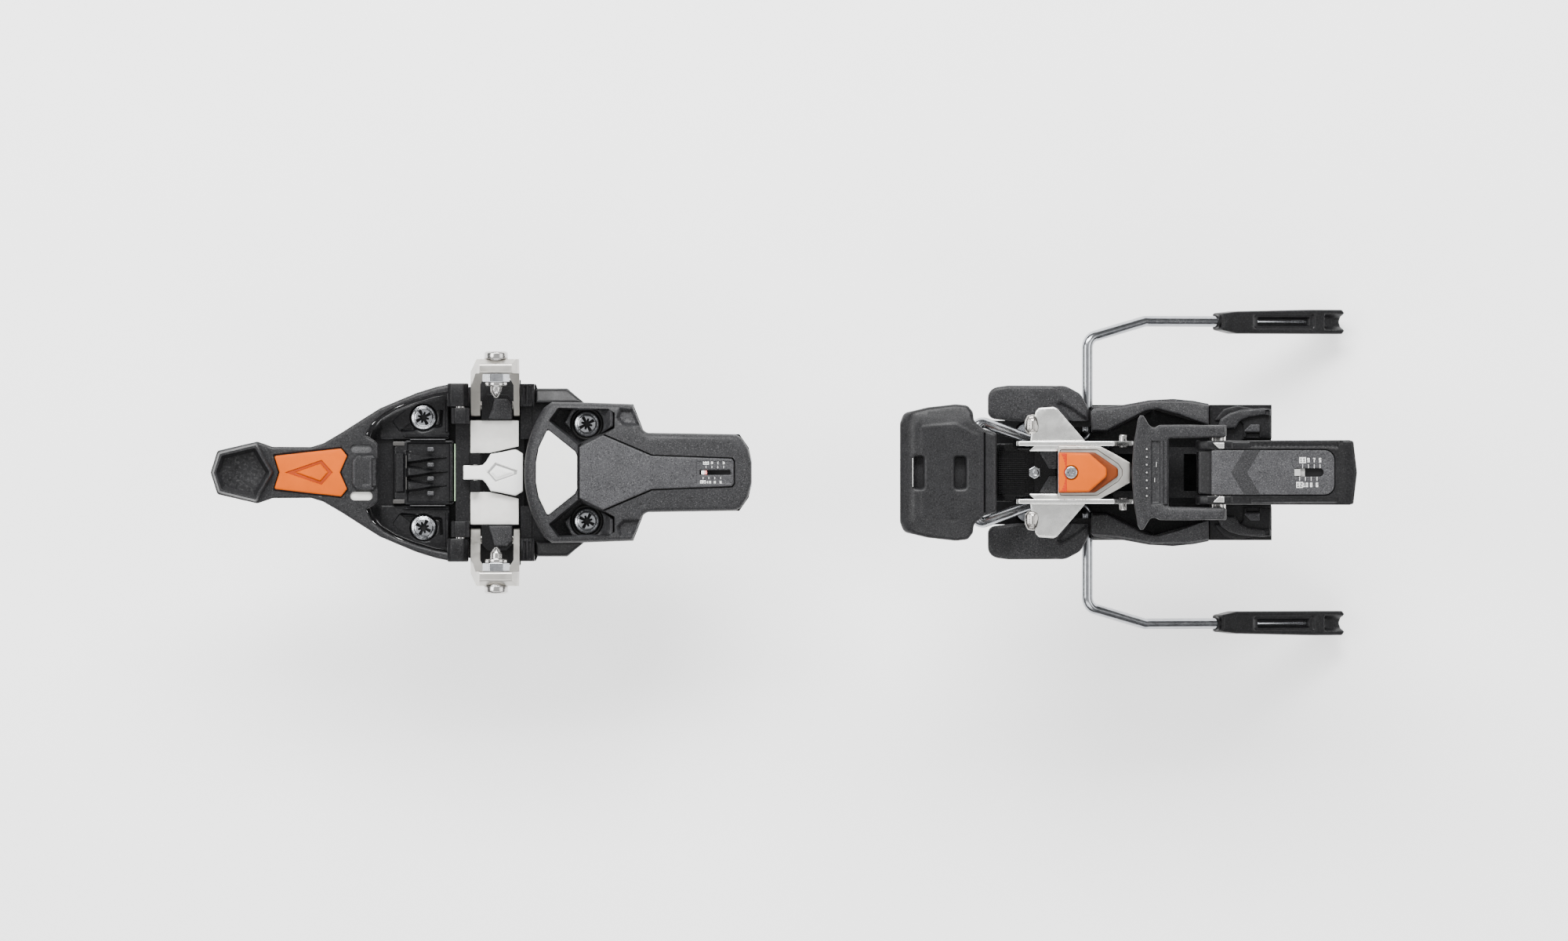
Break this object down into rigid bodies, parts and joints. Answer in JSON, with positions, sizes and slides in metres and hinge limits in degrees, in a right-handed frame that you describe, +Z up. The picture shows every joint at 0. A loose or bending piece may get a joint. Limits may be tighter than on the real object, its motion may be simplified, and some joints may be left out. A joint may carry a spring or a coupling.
{
  "type": "touring binding",
  "caption": "Ski touring binding: toe unit with side-opening pin yokes and pull-up lever, heel unit with hinged jaw, climbing riser, release lever and brake.",
  "frame": {"origin": "on the ski's top face, midway between the two toe pins and below them", "axes": "+X to the ski's tail, +Z up from the ski, +Y to complete a right-handed frame"},
  "size_m": [0.4568, 0.131, 0.1233],
  "materials": {
    "black_plastic": "fine texture",
    "charcoal_plastic": "speckled texture",
    "orange_plastic": "smooth satin",
    "white_plastic": "smooth satin",
    "light_plastic": "satin",
    "zinc_steel": "zinc plated",
    "forged_alloy": "blasted and polished",
    "bright_steel": "polished",
    "spring_steel": "drawn wire",
    "black_rubber": "matt",
    "green_seal": "matt"
  },
  "bodies": {
    "ski_side": {"toe_base": "black_plastic", "toe_screws_front": "zinc_steel", "toe_screws_rear": "zinc_steel", "seat_rings": "black_rubber", "front_block": "black_plastic", "block_pads": "light_plastic", "guide_tabs": "zinc_steel", "seal_strip": "green_seal", "lever_pins": "bright_steel", "toe_housing": "charcoal_plastic", "housing_panel": "charcoal_plastic", "blank_plate": "white_plastic", "rocker_pin": "bright_steel", "release_plunger": "bright_steel", "toe_spring": "spring_steel", "heel_base": "black_plastic", "heel_screws_front": "zinc_steel", "heel_screws_rear": "zinc_steel"},
    "toe_lever": {"toe_lever": "black_plastic", "lever_insert": "orange_plastic"},
    "toe_carriage": {"toe_carriage": "black_plastic", "slide_plates": "white_plastic", "yoke_pins": "bright_steel", "pedal_pin": "bright_steel"},
    "yoke_left": {"yoke_left": "forged_alloy", "toe_pin_left": "bright_steel", "pin_nut_left": "zinc_steel"},
    "yoke_right": {"yoke_right": "forged_alloy", "toe_pin_right": "bright_steel", "pin_nut_right": "zinc_steel"},
    "step_pedal": {"step_pedal": "white_plastic"},
    "release_rocker": {"release_rocker": "forged_alloy"},
    "toe_adjuster": {"toe_adjuster": "zinc_steel"},
    "toe_indicator": {"toe_indicator": "light_plastic"},
    "heel_carriage": {"heel_block": "black_plastic", "heel_fins": "charcoal_plastic", "heel_wings": "charcoal_plastic", "front_plate": "black_plastic", "front_stud": "zinc_steel", "jaw_axle": "bright_steel", "rear_axle": "bright_steel", "brake_spring": "spring_steel"},
    "length_screw": {"length_screw": "zinc_steel"},
    "brake_arms": {"brake_wire": "bright_steel", "brake_tip_left": "black_plastic", "brake_tip_right": "black_plastic"},
    "brake_pad": {"brake_pad": "charcoal_plastic"},
    "heel_jaw": {"heel_jaw": "forged_alloy", "jaw_lugs": "bright_steel", "jaw_insert": "orange_plastic", "jaw_screw": "zinc_steel"},
    "heel_lever": {"heel_lever": "charcoal_plastic", "lever_panel": "black_plastic", "heel_spring": "spring_steel"},
    "heel_adjuster": {"heel_adjuster": "zinc_steel"},
    "heel_indicator": {"heel_indicator": "light_plastic"},
    "climbing_riser": {"climbing_riser": "charcoal_plastic"}
  },
  "joints": [
    {"name": "toe_lever_tilt", "type": "hinge", "parent": "ski_side", "child": "toe_lever", "pos_m": [-0.0144, 0, 0.0168], "axis": [0, 1, 0], "range_deg": [-9, 25]},
    {"name": "toe_release", "type": "slide", "parent": "ski_side", "child": "toe_carriage", "axis": [0, 1, 0], "range_m": [-0.008, 0.008], "stiffness_N_per_m": 9000},
    {"name": "yoke_left_open", "type": "hinge", "parent": "toe_carriage", "child": "yoke_left", "pos_m": [0, 0.0265, 0.0108], "axis": [-1, 0, 0], "range_deg": [0, 20]},
    {"name": "yoke_right_open", "type": "hinge", "parent": "toe_carriage", "child": "yoke_right", "pos_m": [0, -0.0265, 0.0108], "axis": [1, 0, 0], "range_deg": [0, 20]},
    {"name": "pedal_rise", "type": "hinge", "parent": "toe_carriage", "child": "step_pedal", "pos_m": [-0.0086, 0, 0.0156], "axis": [0, -1, 0], "range_deg": [0, 8]},
    {"name": "rocker_turn", "type": "hinge", "parent": "ski_side", "child": "release_rocker", "pos_m": [0.032, 0, 0], "axis": [0, 0, -1], "range_deg": [-23, 23]},
    {"name": "toe_adjuster_turn", "type": "hinge", "parent": "ski_side", "child": "toe_adjuster", "pos_m": [0, 0, 0.015], "axis": [1, 0, 0], "range_deg": [0, 2160]},
    {"name": "toe_indicator_shift", "type": "slide", "parent": "ski_side", "child": "toe_indicator", "axis": [1, 0, 0], "range_m": [0, 0.0092]},
    {"name": "length_screw_turn", "type": "hinge", "parent": "ski_side", "child": "length_screw", "pos_m": [0, 0, 0.0036], "axis": [1, 0, 0], "range_deg": [-3601, 3601]},
    {"name": "heel_length", "type": "slide", "parent": "ski_side", "child": "heel_carriage", "axis": [1, 0, 0], "range_m": [-0.0125, 0.0125]},
    {"name": "brake_swing", "type": "hinge", "parent": "heel_carriage", "child": "brake_arms", "pos_m": [0.2358, 0, 0.012], "axis": [0, -1, 0], "range_deg": [0, 36], "stiffness_Nm_per_rad": 1.2, "springref_deg": -34.38},
    {"name": "brake_pad_tilt", "type": "hinge", "parent": "brake_arms", "child": "brake_pad", "pos_m": [0.1905, 0, 0.047], "axis": [0, -1, 0], "range_deg": [-36, 0]},
    {"name": "heel_jaw_open", "type": "hinge", "parent": "heel_carriage", "child": "heel_jaw", "pos_m": [0.2497, 0, 0.04], "axis": [0, 1, 0], "range_deg": [0, 36], "stiffness_Nm_per_rad": 6, "springref_deg": -22.92},
    {"name": "heel_lever_lift", "type": "hinge", "parent": "heel_carriage", "child": "heel_lever", "pos_m": [0.2875, 0, 0.05], "axis": [0, -1, 0], "range_deg": [0, 45]},
    {"name": "heel_adjuster_turn", "type": "hinge", "parent": "heel_lever", "child": "heel_adjuster", "pos_m": [0, 0, 0.05], "axis": [1, 0, 0], "range_deg": [0, 3241]},
    {"name": "heel_indicator_shift", "type": "slide", "parent": "heel_lever", "child": "heel_indicator", "axis": [1, 0, 0], "range_m": [0, 0.009]},
    {"name": "riser_flip", "type": "hinge", "parent": "heel_carriage", "child": "climbing_riser", "pos_m": [0.2875, 0, 0.05], "axis": [0, 1, 0], "range_deg": [0, 78]}
  ],
  "couplings": [
    {"joint": "yoke_right_open", "follows": "yoke_left_open", "ratio": 1},
    {"joint": "pedal_rise", "follows": "yoke_left_open", "ratio": 0.4},
    {"joint": "rocker_turn", "follows": "toe_release", "rad_per_m": 50},
    {"joint": "toe_indicator_shift", "follows": "toe_adjuster_turn", "m_per_rad": 0.00023873},
    {"joint": "length_screw_turn", "follows": "heel_length", "rad_per_m": 5026.5},
    {"joint": "brake_pad_tilt", "follows": "brake_swing", "ratio": -1},
    {"joint": "heel_adjuster_turn", "follows": "heel_indicator_shift", "rad_per_m": 6283.2}
  ]
}
